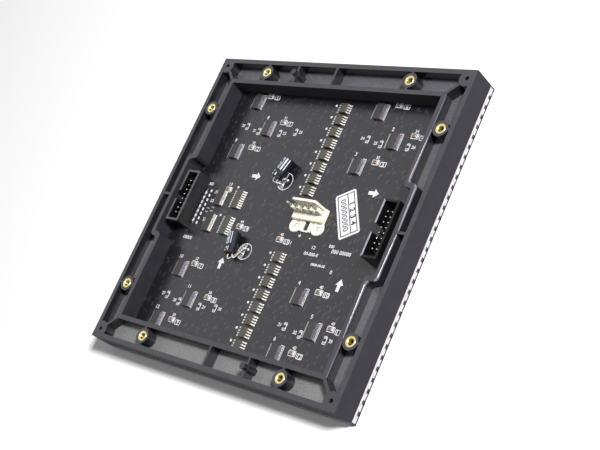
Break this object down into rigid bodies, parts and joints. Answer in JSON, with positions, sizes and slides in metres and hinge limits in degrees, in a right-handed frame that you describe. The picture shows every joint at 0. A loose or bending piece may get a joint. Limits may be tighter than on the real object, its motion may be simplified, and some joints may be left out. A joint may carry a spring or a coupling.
{
  "type": "led dot matrix",
  "caption": "Square LED display module seen from its back: ribbed plastic frame with inserts, circuit board with chips and connectors, slotted light mask over lamps.",
  "frame": {"origin": "centre of the light mask's front face, on which the module lies", "axes": "+Z out of the back, +X from the input header to the output header, +Y towards the edge with the upper row of chips"},
  "size_m": [0.16, 0.16, 0.0181],
  "materials": {
    "frame_plastic": "moulded",
    "mask_plastic": "matte",
    "solder_mask": "gloss solder mask",
    "lamp_body": "matte",
    "chip_epoxy": "moulded epoxy",
    "chip_resistor": "glazed",
    "header_plastic": "semi-gloss",
    "brass": "turned",
    "ivory_nylon": "moulded",
    "tinned_wire": "tinned",
    "capacitor_sleeve": "shrunk sleeve",
    "label_paper": "matte"
  },
  "bodies": {
    "root": {"bus_ic_1": "chip_epoxy", "bus_ic_2": "chip_epoxy", "bus_ic_3": "chip_epoxy", "bus_ic_4": "chip_epoxy", "capacitor_1_can": "capacitor_sleeve", "capacitor_1_leads": "tinned_wire", "capacitor_2_can": "capacitor_sleeve", "capacitor_2_leads": "tinned_wire", "chip_resistors": "chip_resistor", "circuit_board": "solder_mask", "driver_ic_1": "chip_epoxy", "driver_ic_10": "chip_epoxy", "driver_ic_11": "chip_epoxy", "driver_ic_12": "chip_epoxy", "driver_ic_2": "chip_epoxy", "driver_ic_3": "chip_epoxy", "driver_ic_4": "chip_epoxy", "driver_ic_5": "chip_epoxy", "driver_ic_6": "chip_epoxy", "driver_ic_7": "chip_epoxy", "driver_ic_8": "chip_epoxy", "driver_ic_9": "chip_epoxy", "input_header_pins": "brass", "input_header_shell": "header_plastic", "led_mask": "mask_plastic", "led_packages": "lamp_body", "output_header_pins": "brass", "output_header_shell": "header_plastic", "paper_label": "label_paper", "power_header_body": "ivory_nylon", "power_header_pins": "tinned_wire", "rear_frame": "frame_plastic", "row_switch_1": "chip_epoxy", "row_switch_10": "chip_epoxy", "row_switch_11": "chip_epoxy", "row_switch_12": "chip_epoxy", "row_switch_13": "chip_epoxy", "row_switch_14": "chip_epoxy", "row_switch_15": "chip_epoxy", "row_switch_16": "chip_epoxy", "row_switch_2": "chip_epoxy", "row_switch_3": "chip_epoxy", "row_switch_4": "chip_epoxy", "row_switch_5": "chip_epoxy", "row_switch_6": "chip_epoxy", "row_switch_7": "chip_epoxy", "row_switch_8": "chip_epoxy", "row_switch_9": "chip_epoxy", "threaded_inserts": "brass"}
  },
  "joints": []
}
